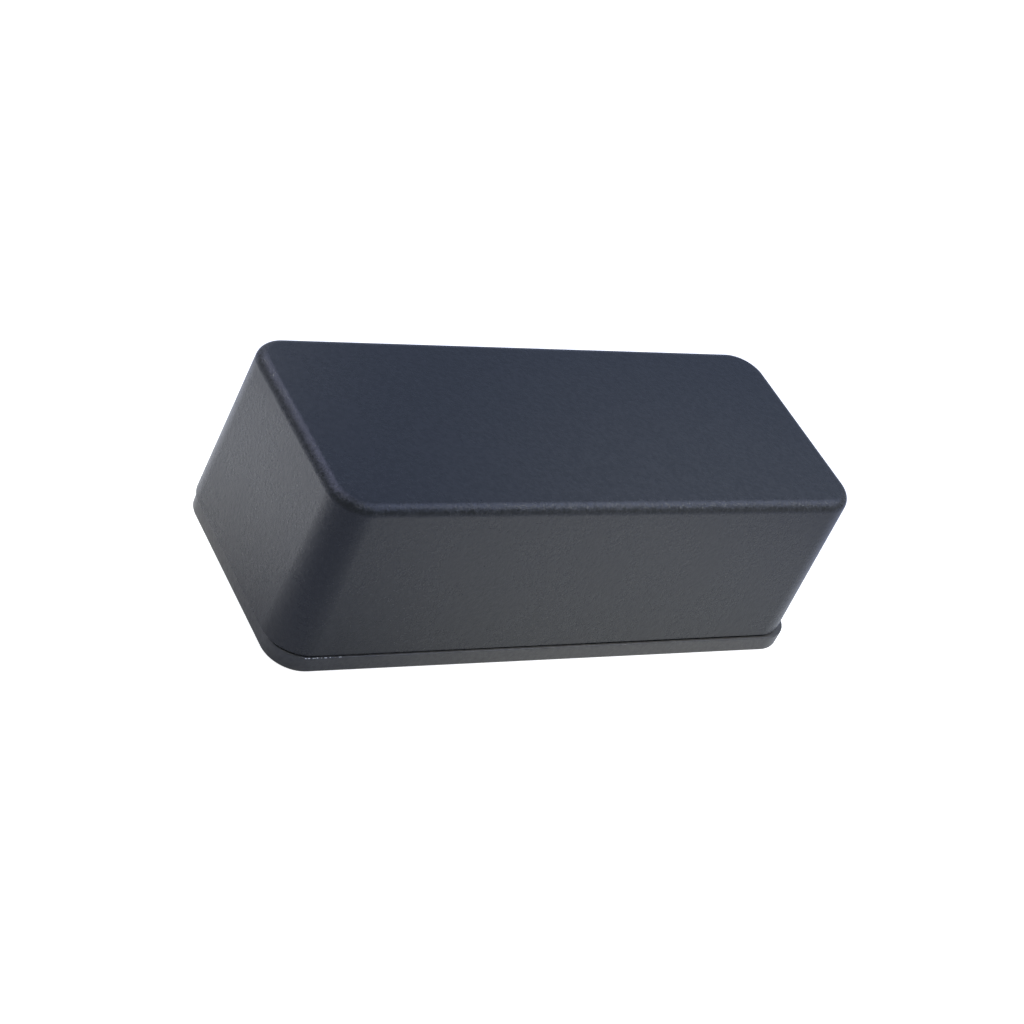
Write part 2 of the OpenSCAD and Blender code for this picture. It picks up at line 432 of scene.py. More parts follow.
def build_swept_moulding():
    tree, given = new_modifier_tree("swept_moulding", [
        ("Float", "Length"), ("Float", "Width"), ("Float", "Corner radius"), ("Int", "Corner steps"),
        ("Vector", "Middle")])
    outline = output_of(tree, "GeometryNodeCurvePrimitiveQuadrilateral",
                        {"Width": given["Length"], "Height": given["Width"]})
    rounded = output_of(tree, "GeometryNodeFilletCurve", {"Curve": outline, "Radius": given["Corner radius"],
                                                          "Count": given["Corner steps"]}, mode="POLY")
    upright = output_of(tree, "GeometryNodeSetCurveNormal", {"Curve": rounded}, mode="Z_UP")
    section = output_of(tree, "GeometryNodeMeshToCurve", {"Mesh": given["Geometry"]})
    sweep = output_of(tree, "GeometryNodeCurveToMesh", {"Curve": upright, "Profile Curve": section})
    swept = made_real(tree, moved(tree, sweep, given["Middle"]))
    add_node(tree, "NodeGroupOutput", {"Geometry": coated(tree, swept, given["Material"])})
    return tree


SWEPT_MOULDING = build_swept_moulding()
print("tree", SWEPT_MOULDING.name, "with", len(SWEPT_MOULDING.nodes), "nodes")

# %% Closing and facing a swept shell
WELD_DISTANCE = 1e-7


def sweep_section(name, points, length, width, corner_r, middle, material):
    """Sweeps a section, fills the flat faces in its middle and turns every face outwards."""
    line = helper_object(name + "_section", section_mesh(name + "_section", points))
    shell = run_tree(line, SWEPT_MOULDING, {
        "Length": length, "Width": width, "Corner radius": corner_r, "Corner steps": CORNER_STEPS,
        "Middle": middle, "Material": material}, name)
    work = bmesh.new()
    work.from_mesh(shell.data)
    bmesh.ops.remove_doubles(work, verts=work.verts, dist=WELD_DISTANCE)
    bmesh.ops.holes_fill(work, edges=[e for e in work.edges if e.is_boundary], sides=0)
    bmesh.ops.recalc_face_normals(work, faces=work.faces)
    for face in work.faces:
        face.smooth = True
    work.to_mesh(shell.data)
    work.free()
    return shell


def settle_normals(obj):
    """Keeps large flats flat beside small rounds, by weighting each normal with the area of its faces."""
    weighted = obj.modifiers.new("weighted", "WEIGHTED_NORMAL")
    weighted.mode = "FACE_AREA"
    weighted.weight = 100
    weighted.keep_sharp = True
    return bake_modifiers(obj, obj.name)


print("shell helpers ready")

# %% [markdown]
# ## The housing's shell
#
# A block with a Bevel and a Solidify modifier would come close, but on walls that lean the rounds come out
# uneven where they meet at the corners. One swept section keeps each round the same all the way along.
#
# The section starts on the closed face, goes over its 1.3 mm round and down the drafted wall to the rim,
# turns round the rim and comes up the inside of the wall to the ceiling. So the housing is a true open
# shell of 1.8 mm wall, not a block. The section's two ends stop just short of the corners' middles, and the
# flats inside them are filled afterwards.

# %% Housing section and sweep
FACE_END_R, CEILING_END_R = 0.4 * MM, 0.1 * MM
wall_top = HOUSING_TOP - FACE_EDGE_R
draft_deg = math.degrees(DRAFT)
edge_cx = lean(wall_top) + FACE_EDGE_R / math.cos(DRAFT)
CEILING = HOUSING_TOP - FACE_T
cavity_cx = WALL_T + lean(CEILING - CAVITY_EDGE_R) + CAVITY_EDGE_R / math.cos(DRAFT)
housing_section = (
    [(CORNER_R - FACE_END_R, HOUSING_TOP, 0)]
    + arc(edge_cx, wall_top, FACE_EDGE_R, 90, draft_deg, steps=12)
    + arc(RIM_EDGE_R, RIM_Z + RIM_EDGE_R, RIM_EDGE_R, 0, -90, steps=4)
    + arc(WALL_T - RIM_INNER_R, RIM_Z + RIM_INNER_R, RIM_INNER_R, -90, -180, steps=2, edge_value=0)
    + arc(cavity_cx, CEILING - CAVITY_EDGE_R, CAVITY_EDGE_R, draft_deg, 90, steps=5, edge_value=0)
    + [(CORNER_R - CEILING_END_R, CEILING, 0)]
)
housing = sweep_section("housing", housing_section, HOUSING_L, HOUSING_W, CORNER_R, HOUSING_AT, HOUSING_ABS)
print("housing shell", len(housing.data.vertices), "points,", len(housing.data.polygons), "faces")

# %% [markdown]
# The gap between rim and lid isn't quite even on a real box: one pair of screws pulls the lid tighter. Here
# it closes towards the end at -X and opens a little at +X, so the dark line of the seam fades towards -X.

# %% Let the seam close towards one end
SEAM_DROP, SEAM_RISE = 0.13 * MM, 0.08 * MM
for vertex in housing.data.vertices:
    if vertex.co.z < RIM_Z + 2 * RIM_EDGE_R:
        share = (housing_hi.x - vertex.co.x) / HOUSING_L
        vertex.co.z += SEAM_RISE * (1 - share) - SEAM_DROP * share
print("seam", round((RIM_GAP - SEAM_DROP) / MM, 2), "to", round((RIM_GAP + SEAM_RISE) / MM, 2), "mm wide")

# %% [markdown]
# ## Inside the housing
#
# A real housing is one moulding with everything a builder needs inside it: a screw boss in each corner,
# four short posts for a circuit board, and pairs of thin ribs along the long walls that hold small boards
# upright. The closed box hides all of it, but it is what makes this a project box, so the shell gets it.
#
# Each kind is made once. Geometry Nodes place the copies, join them to the shell and drill the bores. Loose
# copies pushed into the walls would look the same from outside, but a boolean leaves one closed solid, as
# the moulding is. The shading is smooth only across shallow edges, so the bores keep crisp rims.

# %% Sizes inside the housing
SCREW_PITCH = (HOUSING_L - 2 * CORNER_R, HOUSING_W - 2 * CORNER_R)
POST_PITCH = (44 * MM, 14 * MM)
BOSS_R, BOSS_ROOT_R, BOSS_BORE_R, BOSS_BORE_TOP = 2.9 * MM, 3.1 * MM, 1.05 * MM, 10.6 * MM
POST_R, POST_ROOT_R, POST_H, POST_FOOT, POST_BORE_R = 2.2 * MM, 2.4 * MM, 4.5 * MM, 0.6 * MM, 0.85 * MM
SLOT_COUNT, SLOT_PITCH, SLOT_W = 3, 14 * MM, 1.8 * MM
RIB_T, RIB_D, RIB_MOUTH_D, RIB_LEAN = 1.0 * MM, 1.2 * MM, 0.3 * MM, 0.15 * MM
TONGUE_H, TONGUE_T, TONGUE_GAP, TONGUE_LEAD = 2.0 * MM, 1.1 * MM, 0.55 * MM, 0.4 * MM
CLEARANCE = 0.6 * MM                       # between a tongue and the ribs or bosses beside it
BORE_LEAD, BORE_START = 0.25 * MM, 0.05 * MM
SINK = 0.5 * MM                            # how far an added part reaches into the wall it grows from
WALL_INSIDE = (HOUSING_L / 2 - WALL_T, HOUSING_W / 2 - WALL_T)
print("screws stand", [round(v / MM, 1) for v in SCREW_PITCH], "mm apart")
print("board posts stand", [round(v / MM, 1) for v in POST_PITCH], "mm apart")


# %% One of each: boss, post, rib and their bores
def bore_mesh(name, radius, low, high):
    """A drill with a small lead-in at its lower end, a little longer than the bore."""
    wide = radius + BORE_LEAD
    profile = [(wide, low - BORE_START), (wide, low), (radius, low + BORE_LEAD), (radius, high)]
    return turned_mesh(name, profile, facets=40)


# Half a facet of turn keeps the boss's edges clear of the rim's, which run out from the same middle.
boss = helper_object("screw_boss", turned_mesh("screw_boss", [
    (BOSS_R, LID_T), (BOSS_ROOT_R, CEILING + SINK)], start=0.5))
boss_bore = helper_object("boss_bore", bore_mesh("boss_bore", BOSS_BORE_R, LID_T, BOSS_BORE_TOP))
post = helper_object("board_post", turned_mesh("board_post", [
    (POST_R, CEILING - POST_H), (POST_ROOT_R, CEILING - POST_FOOT), (POST_ROOT_R + POST_FOOT, CEILING),
    (POST_ROOT_R + POST_FOOT, CEILING + SINK)]))
post_bore = helper_object("post_bore", bore_mesh(
    "post_bore", POST_BORE_R, CEILING - POST_H, CEILING + FACE_T / 2))
rib_mouth = LID_T + TONGUE_H + CLEARANCE
rib = helper_object("guide_rib", prism_mesh("guide_rib", [
    (WALL_INSIDE[1] + SINK, rib_mouth), (WALL_INSIDE[1] - RIB_MOUTH_D, rib_mouth),
    (WALL_INSIDE[1] - RIB_D, rib_mouth + RIB_D), (WALL_INSIDE[1] - RIB_D - RIB_LEAN, CEILING + SINK),
    (WALL_INSIDE[1] + SINK, CEILING + SINK)], -RIB_T / 2, RIB_T / 2))
print("boss", round((CEILING - LID_T) / MM, 1), "mm long, post", POST_H / MM, "mm long")


# %% Geometry Nodes: small trees that the larger ones share
def joined(tree, *parts):
    node = add_node(tree, "GeometryNodeJoinGeometry")
    for part in parts:
        tree.links.new(part, node.inputs["Geometry"])
    return node.outputs["Geometry"]


def copies_at(tree, points, part, scale=(1, 1, 1)):
    """A real copy of a part at each point."""
    return made_real(tree, output_of(tree, "GeometryNodeInstanceOnPoints", {
        "Points": points, "Instance": part, "Scale": scale}))


def build_at_four_corners():
    """Copies of a part at the four corners of a rectangle."""
    tree, given = new_tree("at_four_corners", "Geometry", [
        ("Geometry", "Part"), ("Float", "Pitch along"), ("Float", "Pitch across")], [("Geometry", "Copies")])
    corners = output_of(tree, "GeometryNodeMeshGrid", {
        "Size X": given["Pitch along"], "Size Y": given["Pitch across"], "Vertices X": 2, "Vertices Y": 2})
    add_node(tree, "NodeGroupOutput", {"Copies": copies_at(tree, corners, given["Part"])})
    return tree


def build_facing_pair():
    """A part and its copy turned half way round Z."""
    tree, given = new_tree("facing_pair", "Geometry", [("Geometry", "Part")], [("Geometry", "Pair")])
    half_turn = (0, 0, math.pi)
    turned = output_of(tree, "GeometryNodeTransform", {"Geometry": given["Part"], "Rotation": half_turn})
    add_node(tree, "NodeGroupOutput", {"Pair": joined(tree, given["Part"], turned)})
    return tree


def build_crisp_finish():
    """Smooth shading, except across edges sharper than an angle."""
    tree, given = new_tree("crisp_finish", "Geometry", [
        ("Geometry", "Geometry"), ("Float", "Sharp above", math.radians(35))], [("Geometry", "Geometry")])
    smooth = output_of(tree, "GeometryNodeSetShadeSmooth", {
        "Geometry": given["Geometry"], "Shade Smooth": True}, domain="FACE")
    angle = add_node(tree, "GeometryNodeInputMeshEdgeAngle").outputs["Unsigned Angle"]
    shallow = output_of(tree, "FunctionNodeCompare", {0: angle, 1: given["Sharp above"]},
                        data_type="FLOAT", operation="LESS_EQUAL")
    crisp = output_of(tree, "GeometryNodeSetShadeSmooth", {
        "Geometry": smooth, "Shade Smooth": shallow}, domain="EDGE")
    add_node(tree, "NodeGroupOutput", {"Geometry": crisp})
    return tree


AT_FOUR_CORNERS = build_at_four_corners()
FACING_PAIR = build_facing_pair()
CRISP_FINISH = build_crisp_finish()
print("shared trees", AT_FOUR_CORNERS.name, FACING_PAIR.name, CRISP_FINISH.name)

# %% Nodes that the moulding trees use again and again
SCREW_SOCKETS = [("Float", "Screw pitch along"), ("Float", "Screw pitch across"),
                 ("Vector", "Housing middle")]
SCREW_PLACES = {"Screw pitch along": SCREW_PITCH[0], "Screw pitch across": SCREW_PITCH[1],
                "Housing middle": HOUSING_AT}


def object_part(tree, socket):
    """The mesh of a helper object that comes in through a socket."""
    return add_node(tree, "GeometryNodeObjectInfo", {"Object": socket}).outputs["Geometry"]


def four_copies(tree, given, kind, part):
    """Copies of a part at the corners of the screws' or the posts' rectangle, about the housing's middle."""
    copies = output_of(tree, "GeometryNodeGroup", {
        "Part": part, "Pitch along": given[kind + " pitch along"],
        "Pitch across": given[kind + " pitch across"]}, node_tree=AT_FOUR_CORNERS)
    return moved(tree, copies, given["Housing middle"])


def facing(tree, part):
    return output_of(tree, "GeometryNodeGroup", {"Part": part}, node_tree=FACING_PAIR)


def boolean(tree, operation, first, *others):
    """First plus or minus the others, as one closed solid."""
    node = add_node(tree, "GeometryNodeMeshBoolean", operation=operation, solver="MANIFOLD")
    tree.links.new(first, node.inputs["Mesh 1" if operation == "DIFFERENCE" else "Mesh 2"])
    for other in others:
        tree.links.new(other, node.inputs["Mesh 2"])
    return node.outputs["Mesh"]


def finish_tree(tree, given, geometry, extra=None):
    """Ends a tree: real mesh, crisp shading, material, output. Extra parts keep their own material."""
    real = made_real(tree, geometry)
    crisp = output_of(tree, "GeometryNodeGroup", {"Geometry": real}, node_tree=CRISP_FINISH)
    result = coated(tree, crisp, given["Material"])
    if extra is not None:
        result = joined(tree, result, extra)
    add_node(tree, "NodeGroupOutput", {"Geometry": result})
    return tree


def report_solid(obj):
    """Prints the size of a finished mesh and how many of its edges are open."""
    work = bmesh.new()
    work.from_mesh(obj.data)
    loose = sum(1 for e in work.edges if len(e.link_faces) != 2)
    volume = work.calc_volume(signed=True) / MM ** 3
    work.free()
    print(obj.name, len(obj.data.polygons), "faces,", loose, "open edges,", round(volume, 1), "cubic mm")


print("tree parts ready")


# %% Geometry Nodes: bosses, board posts and card guides
def build_housing_interior():
    tree, given = new_modifier_tree("housing_interior", [
        *(("Object", name) for name in ("Boss", "Boss bore", "Post", "Post bore", "Rib")),
        *(("Float", name) for name in (
            "Post pitch along", "Post pitch across", "Rib spacing", "Slot pitch")),
        ("Int", "Slot count"), *SCREW_SOCKETS])

    def placed(kind, name):
        return four_copies(tree, given, kind, object_part(tree, given[name]))

    aside = vector_of(tree, X=maths(tree, "MULTIPLY", given["Rib spacing"], 0.5))
    rib_part = object_part(tree, given["Rib"])
    slot = joined(tree, moved(tree, rib_part, aside), moved(tree, rib_part, scaled(tree, aside, -1.0)))
    pitch = vector_of(tree, X=given["Slot pitch"])
    gaps = maths(tree, "SUBTRACT", given["Slot count"], 1.0)
    start = scaled(tree, pitch, maths(tree, "MULTIPLY", gaps, -0.5))
    row = output_of(tree, "GeometryNodeMeshLine", {
        "Count": given["Slot count"], "Start Location": start, "Offset": pitch}, mode="OFFSET")
    slots = moved(tree, facing(tree, copies_at(tree, row, slot)), given["Housing middle"])

    solid = boolean(tree, "UNION", given["Geometry"], placed("Screw", "Boss"), placed("Post", "Post"), slots)
    drilled = boolean(tree, "DIFFERENCE", solid, placed("Screw", "Boss bore"), placed("Post", "Post bore"))
    return finish_tree(tree, given, drilled)


HOUSING_INTERIOR = build_housing_interior()
print("tree", HOUSING_INTERIOR.name, "with", len(HOUSING_INTERIOR.nodes), "nodes")

# %% Fit out the housing
housing = run_tree(housing, HOUSING_INTERIOR, {
    "Boss": boss, "Boss bore": boss_bore, "Post": post, "Post bore": post_bore, "Rib": rib,
    "Post pitch along": POST_PITCH[0], "Post pitch across": POST_PITCH[1],
    "Rib spacing": SLOT_W + RIB_T, "Slot pitch": SLOT_PITCH, "Slot count": SLOT_COUNT,
    **SCREW_PLACES, "Material": HOUSING_ABS}, housing.name)
report_solid(housing)

# %% [markdown]
# ## The lid
#
# The lid is a flat plate, swept as the housing is: from its outer face, over both of its rounds, to its
# inner face. Four straight tongues on the inside locate it between the walls, and each corner has a
# countersunk hole. Two booleans in Geometry Nodes add them: a union for the tongues and a difference for
# the holes. The holes keep to the housing's bosses, although the plate itself sits a few tenths of a
# millimetre off the housing's middle.

# %% Lid section and sweep
LID_FOOT_R, LID_SHOULDER_R, PLATE_END_R = 0.3 * MM, 0.15 * MM, 0.3 * MM
lid_section = (
    [(LID_CORNER_R - PLATE_END_R, 0, 0)]
    + arc(LID_FOOT_R, LID_FOOT_R, LID_FOOT_R, -90, 0, steps=5)
    + arc(LID_SHOULDER_R, LID_T - LID_SHOULDER_R, LID_SHOULDER_R, 0, 90, steps=4)
    + [(LID_CORNER_R - PLATE_END_R, LID_T, 0)]
)
lid = sweep_section("lid_plate", lid_section, LID_L, LID_W, LID_CORNER_R, LID_AT, LID_ABS)
print("lid plate", len(lid.data.vertices), "points,", len(lid.data.polygons), "faces")

# %% Tongues and countersinks
screws_lo, screws_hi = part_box("lid_screws")
HEAD_R = (screws_hi.x - screws_lo.x - SCREW_PITCH[0]) / 2
HEAD_Z = screws_lo.z
SCREW_TIP = screws_hi.z
HEAD_RIM = 0.2 * MM
CORE_R = 1.03 * MM
SEAT_GAP = 0.02 * MM
SHANK_HOLE_R = 1.45 * MM
OVERCUT = 0.1 * MM


def tongue_mesh(name, outer, half_length):
    """A straight tongue along X whose outer side stands at y = outer, with a lead-in."""
    foot, top, inner = LID_T - SINK, LID_T + TONGUE_H, outer - TONGUE_T
    return prism_mesh(name, [(outer, foot), (outer, top - TONGUE_LEAD), (outer - TONGUE_LEAD, top),
                             (inner, top), (inner, foot)], -half_length, half_length)


tongue_end = BOSS_R + CLEARANCE
long_tongue = helper_object("long_tongue", tongue_mesh(
    "long_tongue", WALL_INSIDE[1] - TONGUE_GAP, SCREW_PITCH[0] / 2 - tongue_end))
short_mesh = tongue_mesh("short_tongue", WALL_INSIDE[0] - TONGUE_GAP, SCREW_PITCH[1] / 2 - tongue_end)
short_mesh.transform(Matrix.Rotation(math.pi / 2, 4, "Z"))
short_tongue = helper_object("short_tongue", short_mesh)
sink_r = HEAD_R + SEAT_GAP
cone_end = HEAD_Z + HEAD_RIM + sink_r - SHANK_HOLE_R
countersink = helper_object("countersink", turned_mesh("countersink", [
    (sink_r, -OVERCUT), (sink_r, HEAD_Z + HEAD_RIM),
    (SHANK_HOLE_R, cone_end), (SHANK_HOLE_R, LID_T + OVERCUT)]))
print("screw head", round(2 * HEAD_R / MM, 2), "mm wide, sunk", round(HEAD_Z / MM, 2), "mm")

# %% [markdown]
# A few small white crumbs sit on the lid's edge beside the corner at -X. They are only 0.1 to 0.3 mm long.
# Their white is a painted glint, a colour that stands for light caught on that edge; as real relief they
# also catch the lamps a little. Geometry Nodes set one on each point of a small scatter along that edge,
# and stretch each one differently.

# %% Painted glint white and the places of the crumbs
CRUMB_R, CRUMB_SEED = 0.075 * MM, 4
CRUMB_STRETCH = ((0.7, 0.6, 0.5), (2.0, 1.0, 1.0))    # least and most
CRUMB_INSET, CRUMB_RISE = 0.06 * MM, 0.02 * MM
CRUMBS_FROM = lid_lo.x + LID_CORNER_R + 0.2 * MM
CRUMB_STEPS = (-1.1, -0.85, -0.7, -0.2, 0.0, 0.3, 0.8, 1.25, 1.4, 1.85, 3.0, 3.15)

# The crumbs' white is a painted glint of light on the lid's edge.
PAINTED_GLINT_WHITE = new_material("whitened_flash", {"Base Color": (0.85, 0.84, 0.84, 1), "Roughness": 0.6})[0]
crumb_mesh = bpy.data.meshes.new("crumb_places")
crumb_mesh.from_pydata([(CRUMBS_FROM + step * MM, lid_lo.y + CRUMB_INSET, LID_T + CRUMB_RISE)
                        for step in CRUMB_STEPS], [], [])
crumb_places = helper_object("crumb_places", crumb_mesh)
# The crumbs are real relief; their white is a painted glint.
print(len(CRUMB_STEPS), "crumbs of flash")


# %% Geometry Nodes: fit out the lid
def build_lid_details():
    tree, given = new_modifier_tree("lid_details", [
        *(("Object", name) for name in ("Long tongue", "Short tongue", "Countersink", "Crumb places")),
        ("Float", "Crumb size"), ("Vector", "Plate middle"), *SCREW_SOCKETS, ("Material", "Crumb material")])
    tongues = [moved(tree, facing(tree, object_part(tree, given[name])), given["Plate middle"])
               for name in ("Long tongue", "Short tongue")]
    solid = boolean(tree, "UNION", given["Geometry"], *tongues)
    holes = four_copies(tree, given, "Screw", object_part(tree, given["Countersink"]))
    drilled = boolean(tree, "DIFFERENCE", solid, holes)

    crumb = output_of(tree, "GeometryNodeMeshIcoSphere", {"Radius": given["Crumb size"]})
    least, most = CRUMB_STRETCH
    uneven = output_of(tree, "FunctionNodeRandomValue", {"Min": least, "Max": most, "Seed": CRUMB_SEED},
                       data_type="FLOAT_VECTOR")
    crumbs = copies_at(tree, object_part(tree, given["Crumb places"]), crumb, uneven)
    return finish_tree(tree, given, drilled, coated(tree, crumbs, given["Crumb material"]))


LID_DETAILS = build_lid_details()
lid = run_tree(lid, LID_DETAILS, {
    "Long tongue": long_tongue, "Short tongue": short_tongue, "Countersink": countersink,
    "Crumb places": crumb_places, "Crumb size": CRUMB_R, "Crumb material": PAINTED_GLINT_WHITE,
    "Plate middle": LID_AT, **SCREW_PLACES, "Material": LID_ABS}, lid.name)
report_solid(lid)

# %% Hand the mouldings to the frame
housing = settle_normals(housing)
lid = settle_normals(lid)
for piece, node in ((housing, "body_shell"), (lid, "lid")):
    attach(piece, "root")
    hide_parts(node)

# %% [markdown]
# ## The screws
#
# Four countersunk self-tapping screws hold the lid. A Screw modifier could turn the thread, but the recess
# and the four copies would still be work by hand. Here one blank is turned from its profile, and one
# Geometry Nodes tree cuts its cross recess, winds a thread round its shank and places the copies. The
# thread bites into the boss's bore, as it does on the real box.

# %% Material of the screws
PLATING = (0.3, 0.3, 0.31)
PLATING_GRAINS_PER_MM = 4.0
PLATING_TONE_SPAN = (0.85, 1.15)
PLATING_GLOSS_SPAN = (0.28, 0.42)


def plated_steel(name):
    """Dark zinc-plated steel: metal with a faint unevenness of tone and gloss."""
    material, tree, shader = new_material(name, {"Metallic": 1.0})
    texture = add_node(tree, "ShaderNodeGroup", {"Grains per mm": PLATING_GRAINS_PER_MM},
                       node_tree=MOULDED_TEXTURE).outputs
    shade = scaled(tree, PLATING, remapped(tree, texture["Tone"], after=PLATING_TONE_SPAN))
    gloss = remapped(tree, texture["Height"], after=PLATING_GLOSS_SPAN)
    connect(tree, shader, {"Base Color": shade, "Roughness": gloss})
    return material


SCREW_STEEL = plated_steel("screw_dark_plated_steel")
print("material", SCREW_STEEL.name)

# %% One screw blank
POINT_H, POINT_R, HEAD_EDGE = 1.6 * MM, 0.2 * MM, 0.05 * MM
blank = helper_object("screws", turned_mesh("screw_blank", [
    (HEAD_R - HEAD_EDGE, HEAD_Z), (HEAD_R, HEAD_Z + HEAD_EDGE), (HEAD_R, HEAD_Z + HEAD_RIM),
    (CORE_R, HEAD_Z + HEAD_RIM + HEAD_R - CORE_R),
    (CORE_R, SCREW_TIP - POINT_H), (POINT_R, SCREW_TIP)], facets=40))
print("screw", round((SCREW_TIP - HEAD_Z) / MM, 1), "mm long")


# %% Geometry Nodes: recess, thread and four copies
def build_lid_screws():
    tree, given = new_modifier_tree("lid_screws", [
        *(("Float", name) for name in (
            "Recess length", "Recess width", "Recess depth", "Head height",
            "Thread start", "Thread length", "Thread radius", "Thread size", "Turns")), *SCREW_SOCKETS])
    blades = []
    deep = maths(tree, "MULTIPLY", given["Recess depth"], 2.0)
    for along, across in (("Recess length", "Recess width"), ("Recess width", "Recess length")):
        size = vector_of(tree, X=given[along], Y=given[across], Z=deep)
        blade = output_of(tree, "GeometryNodeMeshCube", {"Size": size})
        blades.append(moved(tree, blade, vector_of(tree, Z=given["Head height"])))
    screw = boolean(tree, "DIFFERENCE", given["Geometry"], *blades)

    helix = output_of(tree, "GeometryNodeCurveSpiral", {
        "Resolution": 20, "Rotations": given["Turns"], "Start Radius": given["Thread radius"],
        "End Radius": given["Thread radius"], "Height": given["Thread length"]})
    ridge = output_of(tree, "GeometryNodeCurvePrimitiveCircle", {
        "Resolution": 4, "Radius": given["Thread size"]})
    thread = output_of(tree, "GeometryNodeCurveToMesh", {
        "Curve": helix, "Profile Curve": ridge, "Fill Caps": True})
    screw = boolean(tree, "UNION", screw, moved(tree, thread, vector_of(tree, Z=given["Thread start"])))
    return finish_tree(tree, given, four_copies(tree, given, "Screw", screw))


LID_SCREWS = build_lid_screws()
screws = run_tree(blank, LID_SCREWS, {
    "Recess length": 2.5 * MM, "Recess width": 0.6 * MM, "Recess depth": 0.8 * MM, "Head height": HEAD_Z,
    "Thread start": 2.4 * MM, "Thread length": 5.0 * MM, "Thread radius": CORE_R - 0.05 * MM,
    "Thread size": 0.28 * MM, "Turns": 6.0, **SCREW_PLACES, "Material": SCREW_STEEL}, blank.name)
report_solid(screws)
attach(screws, "root")
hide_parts("lid_screws")

# %% [markdown]
# ## Floor and surroundings
#
# The box stands on a plain pale floor that fades into a white surround. More light would make both white
# too, but it would wash out the plastic. So they glow for the camera alone, and the share of that white
# which mirror rays see is kept small, because black plastic shows its form only by what it mirrors.
#
# The floor is clear from below, and open just under the lid where nothing shows it, so that the underside
# of the box can be lit and looked at too.

# %% How the surround is seen
FLOOR_GLOW = 0.92
MIRRORED_SHARE = 0.1
AMBIENT = (0.112, 0.142, 0.162, 1)
WHITE = (1, 1, 1, 1)


def seen_share(tree):
    """1 for camera and transmission rays, a small share for glossy rays, 0 for rays that light things."""
    path = add_node(tree, "ShaderNodeLightPath").outputs
    mirrored = maths(tree, "MULTIPLY", path["Is Glossy Ray"], MIRRORED_SHARE)
    direct = maths(tree, "MAXIMUM", path["Is Camera Ray"], path["Is Transmission Ray"])
    return maths(tree, "MAXIMUM", direct, mirrored)


print("mirror rays see", MIRRORED_SHARE, "of the white surround")


# %% Floor
def pale_floor_material():
    """A pale matt floor from above, and clear from below."""
    material, tree, shader = new_material("pale_floor", {
        "Base Color": (0.78, 0.77, 0.76, 1), "Roughness": 0.9, "Emission Color": WHITE})
    connect(tree, shader, {"Emission Strength": maths(tree, "MULTIPLY", seen_share(tree), FLOOR_GLOW)})
    clear = output_of(tree, "ShaderNodeBsdfTransparent")
    below = add_node(tree, "ShaderNodeNewGeometry").outputs["Backfacing"]
    either = output_of(tree, "ShaderNodeMixShader", {0: below, 1: shader.outputs["BSDF"], 2: clear})
    connect(tree, tree.nodes["Material Output"], {"Surface": either})
    return material


FLOOR_Z = -0.02 * MM
FLOOR_SPREAD = 200
UNDER_INSET = 0.25 * MM


def rounded_outline(half_x, half_y, radius, steps):
    """Points round a rectangle with rounded corners, counter-clockwise about the origin."""
    points = []
    for quarter, (side_x, side_y) in enumerate(((1, 1), (-1, 1), (-1, -1), (1, -1))):
        for step in range(steps + 1):
            angle = math.radians(90) * (quarter + step / steps)
            points.append((side_x * (half_x - radius) + radius * math.cos(angle),
                           side_y * (half_y - radius) + radius * math.sin(angle)))
    return points


opening = rounded_outline(LID_L / 2 - UNDER_INSET, LID_W / 2 - UNDER_INSET, LID_CORNER_R - UNDER_INSET,
                          steps=12)
count = len(opening)
floor_mesh = bpy.data.meshes.new("floor")
floor_mesh.from_pydata(
    [(LID_AT.x + x * spread, LID_AT.y + y * spread, FLOOR_Z) for spread in (1, FLOOR_SPREAD)
     for x, y in opening], [],
    [(at, at + count, (at + 1) % count + count, (at + 1) % count) for at in range(count)])
floor = bpy.data.objects.new("floor", floor_mesh)
bpy.context.scene.collection.objects.link(floor)
floor.data.materials.append(pale_floor_material())
floor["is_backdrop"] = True
print("floor", round(LID_L * FLOOR_SPREAD, 1), "by", round(LID_W * FLOOR_SPREAD, 1), "m")

# %% World
world = bpy.data.worlds.new("studio")
world.use_nodes = True
bpy.context.scene.world = world
sky = world.node_tree
shown = add_node(sky, "ShaderNodeMix", {0: seen_share(sky), 6: AMBIENT, 7: WHITE}, data_type="RGBA")
connect(sky, sky.nodes["Background"], {"Color": shown.outputs[2], "Strength": 1.0})
print("ambient light", AMBIENT[:3])

# %% [markdown]
# ## Lamps
#
# A black box shows its form by what its faces mirror, not by its own colour. So the lamps work in three
# ways. Two spots light soft pools on the floor, one beside the end wall and one in front of the long wall,
# and those walls mirror them; between the pools the floor is dim, so the corner between the two walls stays
# dark. Two faint bluish soft boxes hang where the rounds above the walls mirror them, and draw a soft line
# along each round. A large, dim window of sky stands behind the box, where the closed face mirrors it, and
# gives that face its even blue-grey.
#
# A soft box below the floor lights the screwed side through the opening there.

# %% Spots and soft boxes
SPOT_R = 0.015


def hang_lamp(name, lamp, place, aim, power, colour):
    """Puts a lamp at a place and turns it to face another."""
    lamp.energy = power
    lamp.color = colour
    obj = bpy.data.objects.new(name, lamp)
    bpy.context.scene.collection.objects.link(obj)
    turn = (Vector(aim) - Vector(place)).to_track_quat("-Z", "Y").to_matrix().to_4x4()
    obj.matrix_world = Matrix.Translation(place) @ turn
    return obj


def soft_disc(name, place, aim, width, power, colour):
    """A round soft box."""
    lamp = bpy.data.lights.new(name, "AREA")
    lamp.shape = "DISK"
    lamp.size = width
    return hang_lamp(name, lamp, place, aim, power, colour)


